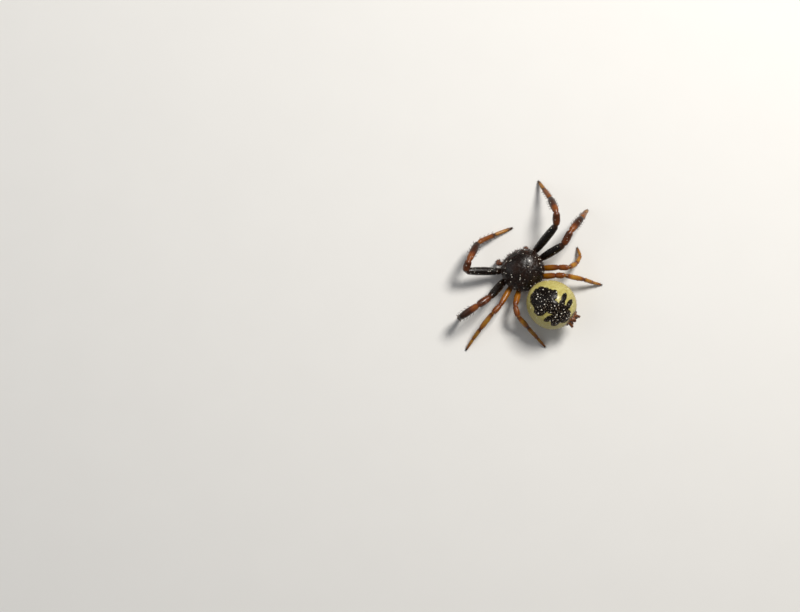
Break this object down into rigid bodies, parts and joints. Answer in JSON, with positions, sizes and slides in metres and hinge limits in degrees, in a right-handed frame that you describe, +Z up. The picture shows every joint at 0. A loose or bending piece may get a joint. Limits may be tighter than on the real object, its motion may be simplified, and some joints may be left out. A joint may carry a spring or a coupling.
{
  "type": "crab spider",
  "caption": "Small crab spider with a near-black body front, a round cream and black abdomen and banded legs, standing still.",
  "frame": {"origin": "on the floor, under the middle of the animal's bounding box", "axes": "+Z up, the head faces -Y, the animal's right side is -X, feet on z = 0"},
  "size_m": [0.0114, 0.0094, 0.0033],
  "materials": {
    "carapace": "glossy near-black brown horny shell with fine pale specks and short bristles",
    "underside": "satin dark reddish brown horny plates",
    "abdomen": "smooth pale cream-yellow skin with a glossy black lobed patch over the back, specked with white",
    "spinnerets": "satin reddish brown short cones",
    "eyes": "wet-looking black beads",
    "jaws": "glossy reddish brown",
    "front_legs": "glossy blackish brown with an orange-tan ring at the base of the tibia and pale specks",
    "front_feet": "orange-tan with a dark brown distal half, tan tarsus and dark claws",
    "rear_legs": "half-clear yellow-ochre with brown rings"
  },
  "bodies": {
    "root": {"carapace": "carapace", "sternum": "underside", "pedicel": "underside", "abdomen": "abdomen", "spinnerets": "spinnerets", "right_chelicera": "jaws", "right_palp": "jaws", "right_eye_front_median": "eyes", "right_eye_front_lateral": "eyes", "right_eye_rear_median": "eyes", "right_eye_rear_lateral": "eyes", "left_chelicera": "jaws", "left_palp": "jaws", "left_eye_front_median": "eyes", "left_eye_front_lateral": "eyes", "left_eye_rear_median": "eyes", "left_eye_rear_lateral": "eyes", "leg_right_1_coxa": "underside", "leg_right_1_femur": "front_legs", "leg_right_1_patella": "front_legs", "leg_right_1_tibia": "front_legs", "leg_right_1_foot": "front_feet", "leg_right_2_coxa": "underside", "leg_right_2_femur": "front_legs", "leg_right_2_patella": "front_legs", "leg_right_2_tibia": "front_legs", "leg_right_2_foot": "front_feet", "leg_right_3_coxa": "rear_legs", "leg_right_3_femur": "rear_legs", "leg_right_3_patella": "rear_legs", "leg_right_3_tibia": "rear_legs", "leg_right_3_foot": "rear_legs", "leg_right_4_coxa": "rear_legs", "leg_right_4_femur": "rear_legs", "leg_right_4_patella": "rear_legs", "leg_right_4_tibia": "rear_legs", "leg_right_4_foot": "rear_legs", "leg_left_1_coxa": "underside", "leg_left_1_femur": "front_legs", "leg_left_1_patella": "front_legs", "leg_left_1_tibia": "front_legs", "leg_left_1_foot": "front_feet", "leg_left_2_coxa": "underside", "leg_left_2_femur": "front_legs", "leg_left_2_patella": "front_legs", "leg_left_2_tibia": "front_legs", "leg_left_2_foot": "front_feet", "leg_left_3_coxa": "rear_legs", "leg_left_3_femur": "rear_legs", "leg_left_3_patella": "rear_legs", "leg_left_3_tibia": "rear_legs", "leg_left_3_foot": "rear_legs", "leg_left_4_coxa": "rear_legs", "leg_left_4_femur": "rear_legs", "leg_left_4_patella": "rear_legs", "leg_left_4_tibia": "rear_legs", "leg_left_4_foot": "rear_legs"}
  },
  "joints": []
}
